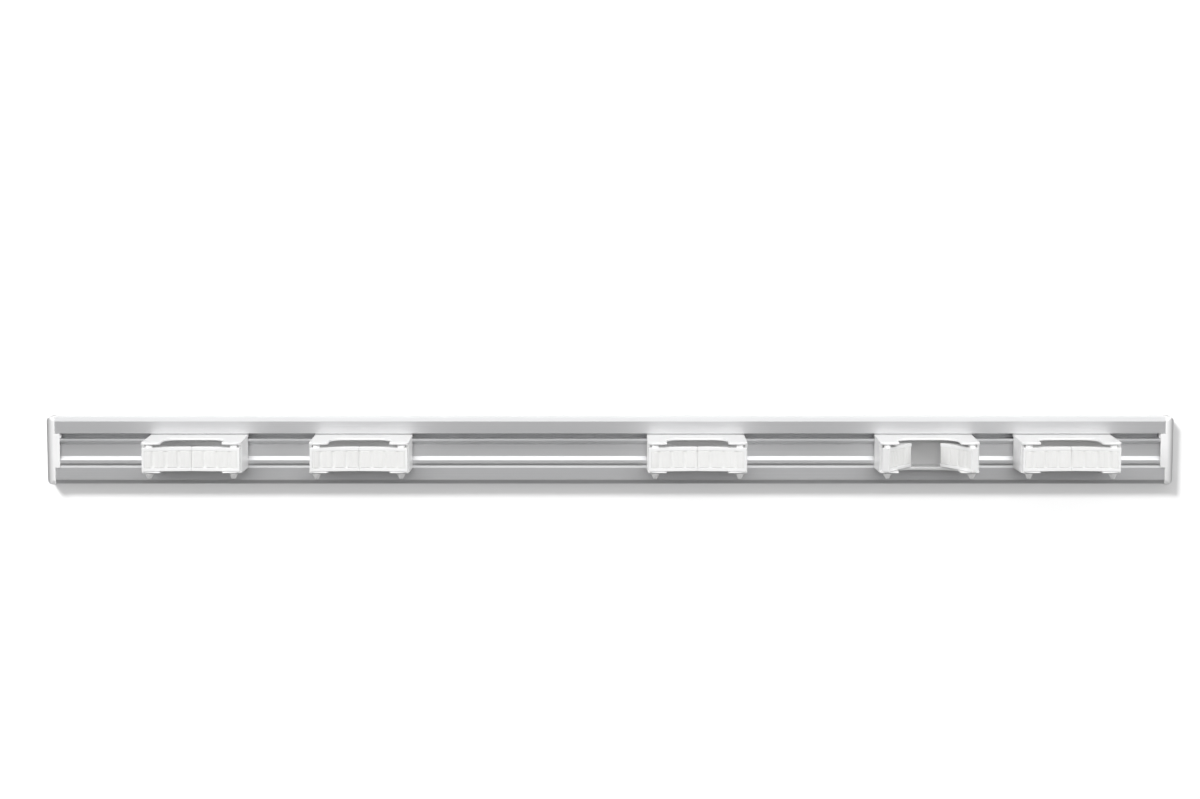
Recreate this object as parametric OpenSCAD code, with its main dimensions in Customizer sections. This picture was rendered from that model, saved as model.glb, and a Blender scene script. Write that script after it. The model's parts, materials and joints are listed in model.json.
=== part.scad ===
// Wall rail with sliding tool holders.
// The wall is the plane Y = 0, the front faces -Y, X runs along the rail and Z is up.
// The origin is the middle of the rail's back face.

/* [Rail] */
// Length of the rail between its end caps
rail_length = 886; // [840:1:1400]
// Height of the rail
rail_height = 53.6; // [50:0.2:62]
// Depth of the rail from the wall to its front
rail_depth = 14; // [12:0.5:20]
// Height of the upper and the lower flange
flange = 13; // [11:0.1:15]
// Height of the mouth of the slot under the upper flange
slot_mouth = 4.4; // [4.2:0.1:5]
// Thickness of the lip in front of the slot
lip = 3; // [2:0.1:4]
// Depth of the slot behind the lip
slot_depth = 7; // [5:0.1:7.5]
// How far the slot rises behind the lip
slot_rise = 4.2; // [3:0.1:4.5]
// Wall left behind the slot at its foot, where the slot is deepest
slot_skin = 1.6; // [1:0.1:2]
// Width of the central channel at its floor
channel_width = 9.6; // [8:0.1:10.5]
// Depth of the central channel
channel_depth = 2.8; // [1:0.1:3]
// Width of the notch above the lower flange
notch_width = 3.6; // [2:0.1:4]
// Depth of the notch above the lower flange
notch_depth = 0.5; // [0.3:0.1:2]
// Height of the chamfers along the outer front edges
chamfer_height = 3.3; // [1:0.1:4]
// Depth of the chamfers along the outer front edges
chamfer_depth = 1.5; // [0.8:0.1:4]
// Width of the relief channels in the back
relief_width = 4; // [2:0.1:4.5]
// Depth of the relief channels in the back
relief_depth = 8; // [4:0.5:9]
// Spacing of the relief channels in the back
relief_pitch = 6; // [5:0.1:6]
// Wall between the lowest relief channel and the rail's edge
relief_edge = 2; // [1.5:0.1:2.5]
// Diameter of the wall screw holes
screw_hole = 5.5; // [4:0.1:7]

/* [End caps] */
// Thickness of an end cap outside the rail
cap_thickness = 7; // [6:0.5:12]
// How far a cap stands proud of the rail's outline
cap_proud = 0.6; // [0.2:0.1:2]
// Corner radius of a cap seen from the front
cap_corner = 5; // [2:0.5:5.5]
// Radius along a cap's outer front edge
cap_round = 6; // [1:0.5:6.5]
// Width of the strip that covers the rail's front between its flanges
cap_strip = 4; // [2:0.5:8]
// Length of the plug in the slot
plug_length = 4; // [3:0.5:20]
// Clearance of the plug in the slot and of the strip on the rail
plug_fit = 0.1; // [0.05:0.05:0.3]

/* [Holders] */
// Width of a holder
holder_width = 78; // [74:0.5:84]
// Height of a holder's body at the rail
holder_height = 26.5; // [25:0.1:27.2]
// Reach of a holder in front of the rail
holder_reach = 48; // [44:0.5:56]
// Thickness of the top plate
top_plate = 1.8; // [1.5:0.1:3]
// Thickness of the bottom plate at its front edge
bottom_plate = 1; // [0.8:0.1:2]
// Rise of the bottom plate's underside from the rail to its front edge
underside_rise = 2.3; // [0.5:0.1:3]
// Thickness of the side walls
side_wall = 2.4; // [1.6:0.1:2.8]
// Thickness of the back wall
back_wall = 2; // [1.5:0.1:3]
// Thickness of the hook behind the rail's lip
hook = 2.6; // [2:0.1:4]
// Play between a holder and the rail
slide_play = 0.3; // [0.2:0.05:0.5]
// Clearance of a holder's top under the rail's lip
mouth_play = 1.3; // [0.3:0.1:1.8]
// Width of the pocket between the ears
pocket_width = 48; // [44:0.5:50]
// Depth of the pocket behind the ears' fronts
pocket_depth = 27.8; // [24:0.2:32]
// Radius of the pocket's back corners
pocket_corner = 12; // [4:0.5:16]
// Radius of the ears' outer front corners
ear_round = 4; // [1:0.5:5]
// Radius of the ears' inner front corners
ear_inner_round = 2.5; // [0.5:0.5:3]
// Material of an ear in front of its hinge pin's axis
ear_margin = 4; // [3.5:0.1:5]

/* [Jaws] */
// Dip of the jaws' front at the middle of a holder
face_dip = 4.5; // [2:0.1:6]
// Thickness of the grip pads
pad_thickness = 1.6; // [1.4:0.1:1.8]
// Thickness of a jaw behind its pad
jaw_thickness = 4.8; // [4.6:0.1:6]
// Gap between a jaw and the top plate
jaw_gap_above = 2.3; // [0.6:0.1:3]
// Gap between a jaw and the bottom plate
jaw_gap_below = 0.3; // [0.2:0.05:1]
// Gap between a jaw's back and the front of the side walls, where an opened jaw stops
stop_gap = 0.4; // [0.3:0.1:1]
// Setback of a jaw's outer end from the side of the holder
jaw_inset = 0.8; // [0.4:0.1:1.4]
// Height of the rims above and below a pad
rim_height = 2.7; // [1.5:0.1:3.5]
// Width of the rim at a jaw's outer end
end_rim = 1.8; // [1:0.1:3]
// Gap between the tips of two jaws
tip_gap = 0.2; // [0.1:0.05:1]
// Pitch of the ribs on a pad
rib_pitch = 10; // [8:0.5:12]
// Radius of the grooves between the ribs
rib_groove = 0.9; // [0.5:0.1:1.1]
// Radius of the fine line along the middle of each rib
rib_line = 0.45; // [0.2:0.05:0.6]
// Clearance all round a pad in its jaw
pad_fit = 0.05; // [0.03:0.01:0.15]
// Angle of the jaws that are folded in
fold_angle = 50; // [0:1:54]

/* [Hinge pins] */
// Diameter of a hinge pin
pin_diameter = 3; // [2.4:0.1:3.2]
// Distance of a pin from the side of the holder
pin_inset = 6; // [5.8:0.1:8]
// Radial clearance of a jaw on its pin
pin_play = 0.08; // [0.03:0.01:0.1]
// Radial clearance of a pin in the holder's ears
pin_fit = 0.02; // [0.01:0.01:0.05]
// Wall of a jaw's barrel round its pin
barrel_wall = 1.3; // [1:0.1:1.6]
// Gap between a barrel's ends and the plates
barrel_gap = 0.2; // [0.1:0.05:0.4]
// Largest diameter of a pin's head
head_diameter = 7.2; // [4:0.1:7.6]
// Smallest diameter of a pin's head
head_tip = 2.6; // [1:0.1:4]
// Height of a pin's head
head_height = 4.2; // [2:0.1:5]
// Cover left above a pin in the top plate
pin_cover = 0.8; // [0.5:0.1:1.2]

/* [Hidden] */
$fn = 96;
// How far a cut runs past the faces that it opens
overrun = 1;
holder_count = 5;
folded_holder = 4;
// Places of the holders and of the wall screws, as shares of the rail's length
holder_place_shares = [-0.370, -0.222, 0.077, 0.282, 0.407];
screw_place_shares = [-0.389, -0.245, 0.245, 0.389];
// Number of rib grooves on a pad, and of fine lines between them
groove_count = 3;
// Number of relief channels in the rail's back below its middle
relief_count = 3;

// Rail, measured from the wall and from its middle
rail_half = rail_height / 2;
slot_front = rail_depth - lip;
slot_back = slot_front - slot_depth;
mouth_high = rail_half - flange;
mouth_low = mouth_high - slot_mouth;
slot_high = mouth_high + slot_rise;
channel_floor = rail_depth - channel_depth;
channel_half = channel_width / 2;
channel_edge = channel_half + channel_depth;
upper_relief = (slot_high + rail_half) / 2;
lowest_relief = -(rail_half - relief_edge - relief_width / 2);

// Holder, measured in front of the rail and from the rail's middle
half_width = holder_width / 2;
holder_top = mouth_high - mouth_play;
holder_bottom = holder_top - holder_height;
hook_front = slot_front - slide_play;
hook_back = hook_front - hook;
hook_top = slot_high - slide_play;
side_inner = half_width - side_wall;
jaw_half = half_width - jaw_inset;
above_jaws = holder_top - top_plate;
below_jaws = holder_bottom + underside_rise + bottom_plate;
jaw_low = below_jaws + jaw_gap_below;
jaw_high = above_jaws - jaw_gap_above;
jaw_height = jaw_high - jaw_low;
pad_low = jaw_low + rim_height;
pad_height = jaw_height - 2 * rim_height;

// The jaws' front is one arc about a centre in front of the holder
face_radius = (jaw_half * jaw_half + face_dip * face_dip) / (2 * face_dip);
seat_radius = face_radius + pad_thickness;
back_radius = seat_radius + jaw_thickness;
face_centre = holder_reach - face_dip + face_radius;

// Distance in front of the rail of the arc of radius r at u along the holder
function arc_at(u, r) = face_centre - sqrt(r * r - u * u);
// Y of a point that lies d in front of the rail
function front(d) = -(rail_depth + d);

pin_radius = pin_diameter / 2;
pin_u = half_width - pin_inset;
pin_d = arc_at(pin_u, seat_radius + jaw_thickness / 2);
pin_top = holder_top - pin_cover;
barrel_radius = pin_radius + barrel_wall;
barrel_low = below_jaws + barrel_gap;
barrel_height = above_jaws - barrel_gap - barrel_low;
ear_front = pin_d + ear_margin;
wall_front = arc_at(side_inner, back_radius) - stop_gap;
pocket_back = ear_front - pocket_depth;
tip_radius = pin_u - tip_gap / 2;

// Height of the bottom plate's underside at d in front of the rail
function underside(d) = holder_bottom + underside_rise * d / ear_front;
// A pin's head hangs just clear of the lowest part of the underside above it
head_top = underside(pin_d - head_diameter / 2) - pin_fit;

// The rail's section, with the wall at 0 and the front at -rail_depth
module rail_outline() {
    polygon([
        [0, -rail_half],
        [0, rail_half],
        [-(rail_depth - chamfer_depth), rail_half],
        [-rail_depth, rail_half - chamfer_height],
        [-rail_depth, mouth_high],
        [-slot_front, mouth_high],
        [-slot_front, slot_high],
        [-slot_back, slot_high],
        [-slot_skin, mouth_low],
        [-rail_depth, mouth_low],
        [-rail_depth, channel_edge],
        [-channel_floor, channel_half],
        [-channel_floor, -channel_half],
        [-rail_depth, -channel_edge],
        [-rail_depth, -(mouth_high - notch_width)],
        [-(rail_depth - notch_depth), -(mouth_high - notch_width / 2)],
        [-rail_depth, -mouth_high],
        [-rail_depth, -(rail_half - chamfer_height)],
        [-(rail_depth - chamfer_depth), -rail_half]
    ]);
}

// A relief channel in the rail's back about the height z
module relief(z) {
    translate([-relief_depth, z - relief_width / 2])
        square([relief_depth + overrun, relief_width]);
}

module rail_section() {
    difference() {
        rail_outline();
        relief(upper_relief);
        for (i = [0 : relief_count - 1])
            relief(lowest_relief + i * relief_pitch);
    }
}

module rail() {
    color("silver")
        difference() {
            rotate([90, 0, 90])
                linear_extrude(rail_length, center = true)
                    rail_section();
            for (share = screw_place_shares)
                translate([share * rail_length, overrun, 0])
                    rotate([90, 0, 0])
                        cylinder(d = screw_hole, h = rail_depth + 2 * overrun);
        }
}

// A cap's outline from the front: rounded at its outer corners
module cap_front_outline() {
    high = rail_half + cap_proud;
    translate([0, -high])
        square([cap_thickness - cap_corner, 2 * high]);
    translate([0, -(high - cap_corner)])
        square([cap_thickness, 2 * (high - cap_corner)]);
    for (z = [-(high - cap_corner), high - cap_corner])
        translate([cap_thickness - cap_corner, z])
            circle(cap_corner);
}

// A cap's outline from above: rounded at its outer front edge
module cap_plan_outline() {
    deep = rail_depth + cap_proud;
    translate([0, -deep])
        square([cap_thickness - cap_round, deep]);
    translate([0, -(deep - cap_round)])
        square([cap_thickness, deep - cap_round]);
    translate([cap_thickness - cap_round, -(deep - cap_round)])
        circle(cap_round);
}

// A cap's outline from its end: the rail's outer outline, a little larger
module cap_end_outline() {
    high = rail_half + cap_proud;
    deep = rail_depth + cap_proud;
    polygon([
        [0, -high],
        [0, high],
        [-(deep - chamfer_depth), high],
        [-deep, high - chamfer_height],
        [-deep, -(high - chamfer_height)],
        [-(deep - chamfer_depth), -high]
    ]);
}

// What a cap has inside the rail's end: a plug in the slot and a strip over the front
module cap_plug() {
    plug_height = slot_high - mouth_low - 2 * plug_fit;
    strip_half = mouth_high - plug_fit;
    translate([-plug_length, -(slot_front - plug_fit), mouth_low + plug_fit])
        cube([plug_length, slot_depth - 2 * plug_fit, plug_height]);
    translate([-cap_strip, -(rail_depth + cap_proud), -strip_half])
        cube([cap_strip, cap_proud - plug_fit, 2 * strip_half]);
}

module end_cap() {
    high = rail_half + cap_proud;
    deep = rail_depth + cap_proud;
    color("white")
        translate([rail_length / 2, 0, 0]) {
            intersection() {
                rotate([90, 0, 0])
                    linear_extrude(deep)
                        cap_front_outline();
                translate([0, 0, -high])
                    linear_extrude(2 * high)
                        cap_plan_outline();
                rotate([90, 0, 90])
                    linear_extrude(cap_thickness)
                        cap_end_outline();
            }
            cap_plug();
        }
}

// What is cut from a square corner to leave a round one of radius r, with the corner at 0
module corner_waste(r) {
    difference() {
        translate([-overrun, -overrun])
            square(r + overrun);
        translate([r, r])
            circle(r);
    }
}

// The pocket in a plate: round at its back corners, open at the front
module pocket_outline() {
    half = pocket_width / 2;
    corner_u = half - pocket_corner;
    corner_d = pocket_back + pocket_corner;
    for (u = [-corner_u, corner_u])
        translate([u, front(corner_d)])
            circle(pocket_corner);
    translate([-corner_u, front(corner_d)])
        square([2 * corner_u, pocket_corner]);
    translate([-half, front(ear_front + overrun)])
        square([pocket_width, ear_front + overrun - corner_d]);
}

// A plate from above, with an ear at each side of the pocket
module plate_outline() {
    difference() {
        translate([-half_width, front(ear_front)])
            square([holder_width, ear_front - slide_play]);
        pocket_outline();
        for (side = [0, 1])
            mirror([side, 0]) {
                translate([-half_width, front(ear_front)])
                    corner_waste(ear_round);
                translate([-pocket_width / 2, front(ear_front)])
                    mirror([1, 0])
                        corner_waste(ear_inner_round);
            }
    }
}

// What is cut from below a holder to leave its rising underside
module underside_waste() {
    far = ear_front + overrun;
    low = holder_bottom - overrun;
    rotate([90, 0, 90])
        linear_extrude(holder_width + 2 * overrun, center = true)
            polygon([
                [front(0), underside(0)],
                [front(far), underside(far)],
                [front(far), low],
                [front(0), low]
            ]);
}

// A tongue through the slot's mouth and a hook that rises behind the lip
module holder_hook() {
    translate([-half_width, front(slide_play), above_jaws])
        cube([holder_width, rail_depth + slide_play - hook_back, top_plate]);
    translate([-half_width, -hook_front, above_jaws])
        cube([holder_width, hook, hook_top - above_jaws]);
}

// A back wall and two side walls between the plates
module holder_walls() {
    translate([-half_width, front(slide_play + back_wall), holder_bottom])
        cube([holder_width, back_wall, holder_height]);
    for (u = [-half_width, side_inner])
        translate([u, front(wall_front), holder_bottom])
            cube([side_wall, wall_front - slide_play, holder_height]);
}

module holder_base() {
    color("white")
        difference() {
            union() {
                holder_hook();
                holder_walls();
                translate([0, 0, above_jaws])
                    linear_extrude(top_plate)
                        plate_outline();
                translate([0, 0, holder_bottom])
                    linear_extrude(below_jaws - holder_bottom)
                        plate_outline();
            }
            underside_waste();
            for (u = [-pin_u, pin_u])
                translate([u, front(pin_d), holder_bottom - overrun])
                    cylinder(r = pin_radius + pin_fit, h = pin_top - holder_bottom + overrun);
        }
}

// The space in front of the arc of radius r, as a disc about the arc's centre
module face_disc(r) {
    translate([0, front(face_centre)])
        circle(r, $fn = 360);
}

// Both jaws' band from above between two arcs, kept to the right jaw
module right_band(inner, outer, from_u, to_u) {
    intersection() {
        difference() {
            face_disc(outer);
            face_disc(inner);
        }
        translate([from_u, front(holder_reach + overrun)])
            square([to_u - from_u, holder_reach]);
        translate([pin_u, front(pin_d)])
            circle(tip_radius, $fn = 180);
    }
}

// A right jaw lies along its arc, its barrel turns on the pin
module right_jaw() {
    color("white")
        difference() {
            union() {
                translate([0, 0, jaw_low])
                    linear_extrude(jaw_height)
                        right_band(seat_radius, back_radius, 0, jaw_half);
                for (z = [jaw_low, jaw_high - rim_height])
                    translate([0, 0, z])
                        linear_extrude(rim_height)
                            right_band(face_radius, seat_radius, 0, jaw_half);
                translate([0, 0, jaw_low])
                    linear_extrude(jaw_height)
                        right_band(face_radius, seat_radius, jaw_half - end_rim, jaw_half);
                translate([0, 0, barrel_low])
                    linear_extrude(barrel_height)
                        difference() {
                            translate([pin_u, front(pin_d)])
                                circle(barrel_radius);
                            face_disc(seat_radius);
                        }
            }
            translate([pin_u, front(pin_d), holder_bottom])
                cylinder(r = pin_radius + pin_play, h = holder_height);
        }
}

// A groove down a pad's front face at u along the holder
module pad_groove(u, r) {
    translate([u, front(arc_at(u, face_radius)), pad_low - overrun])
        cylinder(r = r, h = pad_height + 2 * overrun);
}

module right_grip_pad() {
    height = pad_height - 2 * pad_fit;
    color("whitesmoke")
        difference() {
            translate([0, 0, pad_low + pad_fit])
                linear_extrude(height)
                    right_band(face_radius, seat_radius - pad_fit, 0, jaw_half - end_rim - pad_fit);
            for (n = [1 : groove_count]) {
                pad_groove(n * rib_pitch, rib_groove);
                pad_groove((n - 1 / 2) * rib_pitch, rib_line);
            }
        }
}

module hinge_pin() {
    color("gainsboro") {
        translate([0, 0, head_top])
            cylinder(r = pin_radius, h = pin_top - head_top);
        translate([0, 0, head_top - head_height])
            cylinder(d1 = head_tip, d2 = head_diameter, h = head_height);
    }
}

module hinge_pins() {
    for (u = [-pin_u, pin_u])
        translate([u, front(pin_d), 0])
            hinge_pin();
}

// Puts a holder's piece at its place along the rail
module at_holder(n) {
    translate([holder_place_shares[n - 1] * rail_length, 0, 0])
        children();
}

// Turns a right jaw's piece about its pin, folded in on one holder
module folded(n) {
    angle = n == folded_holder ? fold_angle : 0;
    translate([pin_u, front(pin_d), 0])
        rotate([0, 0, -angle])
            translate([-pin_u, -front(pin_d), 0])
                children();
}

rail();
mirror([1, 0, 0]) end_cap();  // end_cap_left
end_cap();  // end_cap_right
for (n = [1 : holder_count]) {
    at_holder(n) holder_base();
    at_holder(n) mirror([1, 0, 0]) folded(n) right_jaw();
    at_holder(n) folded(n) right_jaw();
    at_holder(n) mirror([1, 0, 0]) folded(n) right_grip_pad();
    at_holder(n) folded(n) right_grip_pad();
    at_holder(n) hinge_pins();
}
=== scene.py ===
"""Looks of the wall tool rail: satin aluminium, white mouldings and ribbed grip pads."""
import json
import math

import bmesh
import bpy
from mathutils import Matrix, Vector

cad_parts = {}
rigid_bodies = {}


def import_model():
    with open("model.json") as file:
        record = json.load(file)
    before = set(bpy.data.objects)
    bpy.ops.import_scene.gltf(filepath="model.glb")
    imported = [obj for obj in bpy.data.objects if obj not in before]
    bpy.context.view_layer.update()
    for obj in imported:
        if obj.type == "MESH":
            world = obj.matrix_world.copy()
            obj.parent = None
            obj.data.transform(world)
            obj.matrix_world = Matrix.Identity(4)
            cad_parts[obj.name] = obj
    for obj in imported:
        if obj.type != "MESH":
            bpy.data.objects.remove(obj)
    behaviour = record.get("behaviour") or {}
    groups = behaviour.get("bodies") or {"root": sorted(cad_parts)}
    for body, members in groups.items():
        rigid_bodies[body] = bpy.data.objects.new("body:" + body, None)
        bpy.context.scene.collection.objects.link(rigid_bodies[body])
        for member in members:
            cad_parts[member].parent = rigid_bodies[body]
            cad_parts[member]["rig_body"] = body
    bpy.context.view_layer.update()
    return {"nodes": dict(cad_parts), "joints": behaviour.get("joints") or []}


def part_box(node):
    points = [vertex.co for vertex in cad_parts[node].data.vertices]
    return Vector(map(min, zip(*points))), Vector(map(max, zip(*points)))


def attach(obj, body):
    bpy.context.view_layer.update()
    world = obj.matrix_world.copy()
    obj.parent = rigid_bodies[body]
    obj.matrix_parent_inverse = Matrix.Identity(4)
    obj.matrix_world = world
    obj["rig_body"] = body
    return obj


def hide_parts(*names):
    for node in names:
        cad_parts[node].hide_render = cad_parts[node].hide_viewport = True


MM = 0.001
HOLDERS = range(1, 6)
# Each side with its direction along X
SIDES = {"left": -1, "right": 1}

# Camera, fitted to the photograph's 1200 by 799 frame
IMAGE_WIDTH = 1200
FOCAL_PIXELS = 2742
SENSOR_WIDTH = 36
CAMERA_PLACE = Vector((-8.1, -2183, 290.7)) * MM
CAMERA_PITCH = math.radians(6.565)

# Grip pads, at the sizes of the solids that they stand for
FACE_DIP = 4.5 * MM
JAW_INSET = 0.8 * MM
JAW_REACH = 48 * MM
PAD_THICKNESS = 1.55 * MM
RIB_PITCH = 10 * MM

# Finer shape of the pads: grooves between the ribs, a line along each rib, and rounded edges
RIBS = 4
GROOVE_DEPTH = 0.6 * MM
GROOVE_HALF = 2.2 * MM
LINE_DEPTH = 0.14 * MM
LINE_HALF = 1.2 * MM
PAD_EDGE = 0.45 * MM
TIP_EDGE = 0.15 * MM
# Gap between a pad's tip and the holder's middle
PAD_TIP = 0.1 * MM

# Mesh steps along a pad, up it and over each of its rounded edges
PAD_COLUMNS = 180
PAD_ROWS = 18
PAD_EDGE_STEPS = 5

# Edge rounding of the carried-over solids
WELD = 0.002 * MM
FLAT_ANGLE = math.radians(0.3)
SHARP_ANGLE = math.radians(12)
RAIL_EDGE = 0.15 * MM
CAP_EDGE = 0.5 * MM
BASE_EDGE = 0.45 * MM
PIN_EDGE = 0.3 * MM
JAW_EDGE = 0.25 * MM
EDGE_SEGMENTS = 3
RAIL_EDGE_SEGMENTS = 2

# Noise between these levels is spread over the whole range of what it varies
NOISE_LOW, NOISE_HIGH = 0.3, 0.7
# How far the roughness of white mouldings goes up and down
ROUGHNESS_SWING = 0.05

# Stage, in metres: a white wall just behind the rail and a pale floor below the view
STAGE_HALF_WIDTH = 2.6
WALL_HALF_HEIGHT = 1.6
WALL_GAP = 0.6 * MM
FLOOR_LEVEL = -1.3
FLOOR_FRONT, FLOOR_BACK = -0.5, 1.5
STAGE_SHADE = 0.6
STAGE_ROUGHNESS = 0.9
WALL_GLOW = 0.32
FLOOR_GLOW = 0.15
# Shade of the stage for light that bounces off it
BOUNCE = 0.04

# Lamps, which all look at one point: place and size in metres, power in watts
LAMP_AIM = Vector((0, 0, 0))
LAMPS = {
    "left_key": ((-4.8, -3.2, 2.2), (2.6, 2.6), 228),
    "right_key": ((4.8, -3.2, 2.2), (2.6, 2.6), 198),
    "left_cap_key": ((1.5, -2.2, 1.1), (1.3, 1.3), 73),
    "right_cap_key": ((-1.5, -2.2, 1.1), (1.3, 1.3), 73),
    "back_fill": ((0, 2.6, 0.2), (2.0, 0.5), 50),
    "rail_key": ((0, -1.6, 4.5), (4.5, 1.0), 46),
    "wall_wash": ((-3.2, -5.2, 4.6), (1.6, 1.6), 700),
}

# Room light: its level at some heights, from 0 straight down to 1 straight up
ROOM_HEIGHTS = (0.47, 0.55, 0.75, 1)
ROOM_LEVELS = (0.04, 1.9, 0.6, 1.75)
# Share of the room light that is lost towards both ends of the rail
ROOM_END_FADE = 0.7

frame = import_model()
joints = {j["name"]: j for j in frame["joints"]}


# Materials
def grey(level):
    return (level, level, level)


class Nodes:
    """A material's node tree, with short calls to add and join nodes."""

    def __init__(self, name):
        self.material = bpy.data.materials.new(name)
        self.material.use_nodes = True
        self.tree = self.material.node_tree
        self.shader = self.tree.nodes["Principled BSDF"]
        self.output = self.tree.nodes["Material Output"]

    def add(self, kind, **values):
        node = self.tree.nodes.new(kind)
        for key, value in values.items():
            setattr(node, key, value)
        return node

    def join(self, source, target):
        self.tree.links.new(source, target)

    def noise(self, cells, detail):
        """Noise in object coordinates, with so many cells to the metre along X, Y and Z."""
        coordinates = self.add("ShaderNodeTexCoord")
        mapping = self.add("ShaderNodeMapping")
        mapping.inputs["Scale"].default_value = cells
        self.join(coordinates.outputs["Object"], mapping.inputs["Vector"])
        noise = self.add("ShaderNodeTexNoise")
        noise.inputs["Scale"].default_value = 1
        noise.inputs["Detail"].default_value = detail
        self.join(mapping.outputs["Vector"], noise.inputs["Vector"])
        return noise.outputs["Fac"]

    def ramp(self, value, low, high, from_low=NOISE_LOW, from_high=NOISE_HIGH):
        """value spread between low and high."""
        limits = self.add("ShaderNodeMapRange")
        limits.inputs["From Min"].default_value = from_low
        limits.inputs["From Max"].default_value = from_high
        limits.inputs["To Min"].default_value = low
        limits.inputs["To Max"].default_value = high
        self.join(value, limits.inputs["Value"])
        return limits.outputs["Result"]

    def total(self, first, second):
        """The sum of two values."""
        both = self.add("ShaderNodeMath", operation="ADD")
        self.join(first, both.inputs[0])
        self.join(second, both.inputs[1])
        return both.outputs["Value"]

    def colour(self, value, dark, light):
        """The surface's colour, between dark and light by value."""
        mix = self.add("ShaderNodeMix", data_type="RGBA")
        mix.inputs["A"].default_value = (*dark, 1)
        mix.inputs["B"].default_value = (*light, 1)
        self.join(value, mix.inputs["Factor"])
        self.join(mix.outputs["Result"], self.shader.inputs["Base Color"])

    def roughness(self, value):
        self.join(value, self.shader.inputs["Roughness"])

    def bump(self, height, strength, distance):
        bump = self.add("ShaderNodeBump")
        bump.inputs["Strength"].default_value = strength
        bump.inputs["Distance"].default_value = distance
        self.join(height, bump.inputs["Height"])
        self.join(bump.outputs["Normal"], self.shader.inputs["Normal"])

    def set(self, **values):
        """Values that are the same all over the surface."""
        for key, value in values.items():
            self.shader.inputs[key.replace("_", " ")].default_value = value


def aluminium():
    """Satin anodised extrusion with fine die lines along X."""
    n = Nodes("satin_aluminium")
    lines = n.noise(cells=(3, 3000, 3000), detail=3)
    cloud = n.noise(cells=(6, 60, 60), detail=2)
    n.colour(n.ramp(lines, 0, 1), dark=(0.8, 0.803, 0.812), light=(0.86, 0.863, 0.872))
    n.roughness(n.total(n.ramp(lines, low=0.4, high=0.46), n.ramp(cloud, low=0, high=0.04)))
    n.bump(lines, strength=0.04, distance=0.03 * MM)
    n.set(Metallic=0.6)
    return n.material


def white_plastic(name, roughness, specular):
    """White moulding with a faint flow mottle and a fine moulded grain."""
    n = Nodes(name)
    mottle = n.noise(cells=(40, 40, 40), detail=3)
    grain = n.noise(cells=(1500, 1500, 1500), detail=2)
    n.colour(n.ramp(mottle, 0, 1), dark=grey(0.85), light=grey(0.89))
    n.roughness(n.ramp(mottle, roughness - ROUGHNESS_SWING, roughness + ROUGHNESS_SWING))
    n.bump(grain, strength=0.06, distance=0.05 * MM)
    n.set(Specular_IOR_Level=specular)
    return n.material


def grip_rubber():
    """Off-white elastomer: softer gloss, a fine grain and slight shade differences."""
    n = Nodes("grip_rubber")
    shade = n.noise(cells=(60, 60, 60), detail=3)
    grain = n.noise(cells=(2200, 2200, 2200), detail=3)
    n.colour(n.ramp(shade, 0, 1), dark=(0.79, 0.79, 0.78), light=(0.84, 0.84, 0.83))
    n.roughness(n.ramp(grain, low=0.5, high=0.64))
    n.bump(grain, strength=0.15, distance=0.06 * MM)
    return n.material


def pin_plastic():
    """Plain white moulded pin, a little greyer than the holders."""
    n = Nodes("pin_plastic")
    shade = n.noise(cells=(200, 200, 200), detail=2)
    n.colour(n.ramp(shade, 0, 1), dark=grey(0.76), light=grey(0.82))
    n.roughness(n.ramp(shade, low=0.36, high=0.46))
    return n.material


def stage_paint(name, glow):
    """A matt paint that glows and is pale where it is seen, also in gloss, and dark to other light.

    Seen from behind it isn't there.
    """
    n = Nodes(name)
    n.set(Roughness=STAGE_ROUGHNESS, Emission_Color=(*grey(1), 1))
    path = n.add("ShaderNodeLightPath")
    seen = n.total(path.outputs["Is Camera Ray"], path.outputs["Is Glossy Ray"])
    seen = n.total(seen, path.outputs["Is Transmission Ray"])
    n.join(n.ramp(seen, 0, glow, from_low=0, from_high=1), n.shader.inputs["Emission Strength"])
    n.colour(seen, dark=grey(BOUNCE), light=grey(STAGE_SHADE))
    geometry = n.add("ShaderNodeNewGeometry")
    clear = n.add("ShaderNodeBsdfTransparent")
    mix = n.add("ShaderNodeMixShader")
    n.join(geometry.outputs["Backfacing"], mix.inputs["Fac"])
    n.join(n.shader.outputs["BSDF"], mix.inputs[1])
    n.join(clear.outputs["BSDF"], mix.inputs[2])
    n.join(mix.outputs["Shader"], n.output.inputs["Surface"])
    return n.material


ALUMINIUM = aluminium()
WHITE = white_plastic("white_moulding", roughness=0.33, specular=0.5)
CAP_WHITE = white_plastic("matt_white_cap", roughness=0.7, specular=0)
RUBBER = grip_rubber()
PIN = pin_plastic()


# Pieces
def new_piece(name, mesh, material):
    piece = bpy.data.objects.new(name, mesh)
    bpy.context.scene.collection.objects.link(piece)
    mesh.materials.append(material)
    return piece


def belongs(piece, node):
    """The piece stands for a CAD node and moves with that node's body."""
    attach(piece, frame["nodes"][node]["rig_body"])
    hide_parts(node)


def rounded(node, name, material, width, segments=EDGE_SEGMENTS):
    """A CAD node's solid with its flats joined and its sharp edges rounded."""
    mesh = bpy.data.meshes.new(name)
    work = bmesh.new()
    work.from_mesh(frame["nodes"][node].data)
    bmesh.ops.remove_doubles(work, verts=work.verts, dist=WELD)
    bmesh.ops.dissolve_limit(work, angle_limit=FLAT_ANGLE, verts=work.verts, edges=work.edges)
    for face in work.faces:
        face.smooth = True
    work.to_mesh(mesh)
    work.free()
    piece = new_piece(name, mesh, material)
    bevel = piece.modifiers.new("edges", "BEVEL")
    bevel.width = width
    bevel.segments = segments
    bevel.limit_method = "ANGLE"
    bevel.angle_limit = SHARP_ANGLE
    bevel.use_clamp_overlap = False
    bevel.loop_slide = False
    bevel.miter_outer = "MITER_ARC"
    normals = piece.modifiers.new("normals", "WEIGHTED_NORMAL")
    normals.keep_sharp = False
    belongs(piece, node)
    return piece


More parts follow.
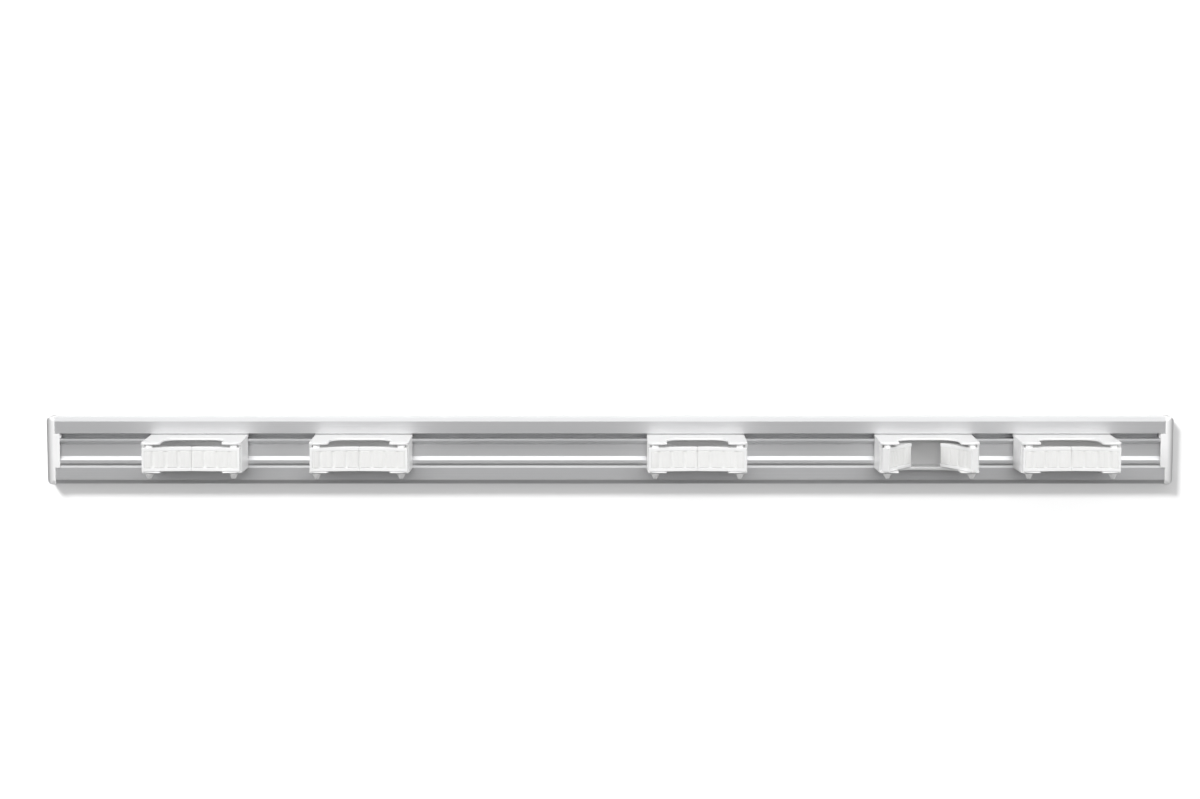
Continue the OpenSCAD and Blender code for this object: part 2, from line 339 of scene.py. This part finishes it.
def pin_place(side, number):
    return Vector(joints[f"{side}_jaw_hinge_{number}"]["pos_m"])


def pins_middle(number):
    """The point midway between a holder's two hinge pins."""
    return (pin_place("left", number) + pin_place("right", number)) / 2


# Outline of every pad before it is folded in, from the first holder, whose jaws stand closed
pad_low, pad_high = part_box("right_grip_pad_1")
pad_outer = pad_high.x - pins_middle(1).x
base_low, base_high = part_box("holder_base_1")
jaw_half = (base_high.x - base_low.x) / 2 - JAW_INSET
face_radius = (jaw_half**2 + FACE_DIP**2) / (2 * FACE_DIP)
face_front_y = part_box("rail")[0].y - (JAW_REACH - FACE_DIP)
face_centre_y = face_front_y - face_radius


def dent(u, place, half, depth):
    """Depth at u of a smooth groove of that half width about place."""
    away = abs(u - place) / half
    if away >= 1:
        return 0.0
    return depth * (1 + math.cos(math.pi * away)) / 2


def edge_drop(away, radius):
    """How far a rounded edge of that radius drops at a distance away from the end."""
    if away >= radius:
        return 0.0
    return radius - math.sqrt(max(0.0, radius**2 - (radius - away) ** 2))


def rib_depth(u):
    """Depth below the face of the grooves between ribs and the fine line along each rib."""
    grooves = max(dent(u, n * RIB_PITCH, GROOVE_HALF, GROOVE_DEPTH) for n in range(RIBS))
    lines = max(dent(u, (n + 0.5) * RIB_PITCH, LINE_HALF, LINE_DEPTH) for n in range(RIBS))
    return max(grooves, lines)


def pad_depth(u, z):
    """Depth below the face of a pad's front, with its ribs and rounded edges."""
    ends = max(edge_drop(u - PAD_TIP, TIP_EDGE), edge_drop(pad_outer - u, PAD_EDGE))
    edges = edge_drop(min(z - pad_low.z, pad_high.z - z), PAD_EDGE)
    return max(rib_depth(u), ends, edges)


def spread(count, start, end):
    """Places from start to end, packed closer over the rounded edge at both."""
    turns = [math.pi / 2 * i / PAD_EDGE_STEPS for i in range(PAD_EDGE_STEPS)]
    edge = [PAD_EDGE * (1 - math.cos(turn)) for turn in turns]
    length = end - start
    middle = [PAD_EDGE + (length - 2 * PAD_EDGE) * i / count for i in range(count + 1)]
    return [start + s for s in edge + middle + [length - e for e in reversed(edge)]]


def grip_pad(number, side, sign):
    """One ribbed pad: a front of ribs with rounded edges over a plain back, along the jaw's arc."""
    node = f"{side}_grip_pad_{number}"
    middle = pins_middle(number)

    def point(u, z, depth):
        """A point at u along the holder and z up, that deep behind the face's arc."""
        angle = math.asin(u / face_radius)
        r = face_radius + depth
        return Vector((middle.x + sign * r * math.sin(angle), face_centre_y + r * math.cos(angle), z))

    columns = spread(PAD_COLUMNS, PAD_TIP, pad_outer)
    rows = spread(PAD_ROWS, pad_low.z, pad_high.z)
    work = bmesh.new()
    fronts = [[work.verts.new(point(u, z, pad_depth(u, z))) for z in rows] for u in columns]
    backs = [[work.verts.new(point(u, z, PAD_THICKNESS)) for z in rows] for u in columns]
    last_u, last_z = len(columns) - 1, len(rows) - 1
    for i in range(last_u):
        for j in range(last_z):
            work.faces.new((fronts[i][j], fronts[i + 1][j], fronts[i + 1][j + 1], fronts[i][j + 1]))
            work.faces.new((backs[i][j + 1], backs[i + 1][j + 1], backs[i + 1][j], backs[i][j]))
        for j in (0, last_z):
            work.faces.new((fronts[i][j], backs[i][j], backs[i + 1][j], fronts[i + 1][j]))
    for j in range(last_z):
        for i in (0, last_u):
            work.faces.new((fronts[i][j], fronts[i][j + 1], backs[i][j + 1], backs[i][j]))
    bmesh.ops.recalc_face_normals(work, faces=work.faces)
    for face in work.faces:
        face.smooth = True
    # The jaws stand closed at the left hinge's lower limit, so a folded pad is turned in by as much
    fold = sign * math.radians(joints[f"left_jaw_hinge_{number}"]["range_deg"][0])
    pin = pin_place(side, number)
    work.transform(Matrix.Translation(pin) @ Matrix.Rotation(fold, 4, "Z") @ Matrix.Translation(-pin))
    mesh = bpy.data.meshes.new(f"ribbed_{node}")
    work.to_mesh(mesh)
    work.free()
    piece = new_piece(f"ribbed_{node}", mesh, RUBBER)
    belongs(piece, node)


rail = rounded("rail", "aluminium_rail", ALUMINIUM, RAIL_EDGE, RAIL_EDGE_SEGMENTS)
caps = []
for side in SIDES:
    caps.append(rounded(f"end_cap_{side}", f"{side}_cap", CAP_WHITE, CAP_EDGE))
for number in HOLDERS:
    rounded(f"holder_base_{number}", f"base_{number}", WHITE, BASE_EDGE)
    rounded(f"hinge_pins_{number}", f"pins_{number}", PIN, PIN_EDGE)
    for side, sign in SIDES.items():
        rounded(f"{side}_jaw_{number}", f"{side}_rimmed_jaw_{number}", WHITE, JAW_EDGE)
        grip_pad(number, side, sign)


# Stage
def plane(name, start, end, material):
    """A rectangle between two opposite corners, with two of its edges along X."""
    corners = [start, (end[0], *start[1:]), end, (start[0], *end[1:])]
    mesh = bpy.data.meshes.new(name)
    mesh.from_pydata(corners, [], [(0, 1, 2, 3)])
    piece = new_piece(name, mesh, material)
    return piece


wall = plane(
    "wall",
    (-STAGE_HALF_WIDTH, WALL_GAP, -WALL_HALF_HEIGHT),
    (STAGE_HALF_WIDTH, WALL_GAP, WALL_HALF_HEIGHT),
    stage_paint("wall_paint", WALL_GLOW),
)
floor = plane(
    "floor",
    (-STAGE_HALF_WIDTH, FLOOR_FRONT, FLOOR_LEVEL),
    (STAGE_HALF_WIDTH, FLOOR_BACK, FLOOR_LEVEL),
    stage_paint("floor_paint", FLOOR_GLOW),
)


# Light: soft boxes, each for some of the pieces, and the light of a room
def lamp(name, place, size, power):
    data = bpy.data.lights.new(name, "AREA")
    data.shape = "RECTANGLE"
    data.size, data.size_y = size
    data.energy = power
    made = bpy.data.objects.new(name, data)
    made.location = place
    made.rotation_mode = "QUATERNION"
    made.rotation_quaternion = (LAMP_AIM - Vector(place)).to_track_quat("-Z", "Y")
    bpy.context.scene.collection.objects.link(made)
    return made


def group(name, pieces):
    """A collection for light linking that holds these pieces."""
    made = bpy.data.collections.new(name)
    for piece in pieces:
        made.objects.link(piece)
    return made


def lights_only(made, pieces):
    """The lamp lights these pieces and nothing else."""
    made.light_linking.receiver_collection = group(f"lit_by_{made.name}", pieces)


lamps = {name: lamp(name, *values) for name, values in LAMPS.items()}

# The two keys light the holders and spare the rest
spared = group("spared_by_keys", [wall, floor, rail, *caps])
for entry in spared.collection_objects:
    entry.light_linking.link_state = "EXCLUDE"
for side, cap in zip(SIDES, caps):
    lamps[f"{side}_key"].light_linking.receiver_collection = spared
    lights_only(lamps[f"{side}_cap_key"], [cap])
lights_only(lamps["back_fill"], caps)
lights_only(lamps["rail_key"], [rail])
lights_only(lamps["wall_wash"], [wall])

# Only the rail and the caps cast shadows from these two lamps, so the one behind shines past the wall
rail_and_caps = group("rail_and_caps", [rail, *caps])
for name in ("back_fill", "wall_wash"):
    lamps[name].light_linking.blocker_collection = rail_and_caps


def room():
    """World light by height, which fades towards both ends of the rail."""
    world = bpy.data.worlds.new("room")
    bpy.context.scene.world = world
    world.use_nodes = True
    tree = world.node_tree
    coordinates = tree.nodes.new("ShaderNodeTexCoord")
    split = tree.nodes.new("ShaderNodeSeparateXYZ")
    tree.links.new(coordinates.outputs["Generated"], split.inputs["Vector"])
    height = tree.nodes.new("ShaderNodeMapRange")
    height.inputs["From Min"].default_value = -1
    tree.links.new(split.outputs["Z"], height.inputs["Value"])
    ramp = tree.nodes.new("ShaderNodeValToRGB")
    tree.links.new(height.outputs["Result"], ramp.inputs["Fac"])
    stops = ramp.color_ramp.elements
    stops[0].position = ROOM_HEIGHTS[0]
    stops[1].position = ROOM_HEIGHTS[-1]
    for position in ROOM_HEIGHTS[1:-1]:
        stops.new(position)
    for stop, level in zip(stops, ROOM_LEVELS):
        stop.color = (*grey(level), 1)
    across = tree.nodes.new("ShaderNodeMath")
    across.operation = "MULTIPLY"
    tree.links.new(split.outputs["X"], across.inputs[0])
    tree.links.new(split.outputs["X"], across.inputs[1])
    fade = tree.nodes.new("ShaderNodeMapRange")
    fade.inputs["To Min"].default_value = 1
    fade.inputs["To Max"].default_value = 1 - ROOM_END_FADE
    tree.links.new(across.outputs["Value"], fade.inputs["Value"])
    background = tree.nodes["Background"]
    tree.links.new(ramp.outputs["Color"], background.inputs["Color"])
    tree.links.new(fade.outputs["Result"], background.inputs["Strength"])


room()

camera_data = bpy.data.cameras.new("camera")
camera_data.sensor_width = SENSOR_WIDTH
camera_data.lens = FOCAL_PIXELS / IMAGE_WIDTH * SENSOR_WIDTH
camera = bpy.data.objects.new("camera", camera_data)
camera.location = CAMERA_PLACE
camera.rotation_euler = (math.pi / 2 - CAMERA_PITCH, 0, 0)
bpy.context.scene.collection.objects.link(camera)
bpy.context.scene.camera = camera
bpy.context.scene.view_settings.view_transform = "Standard"
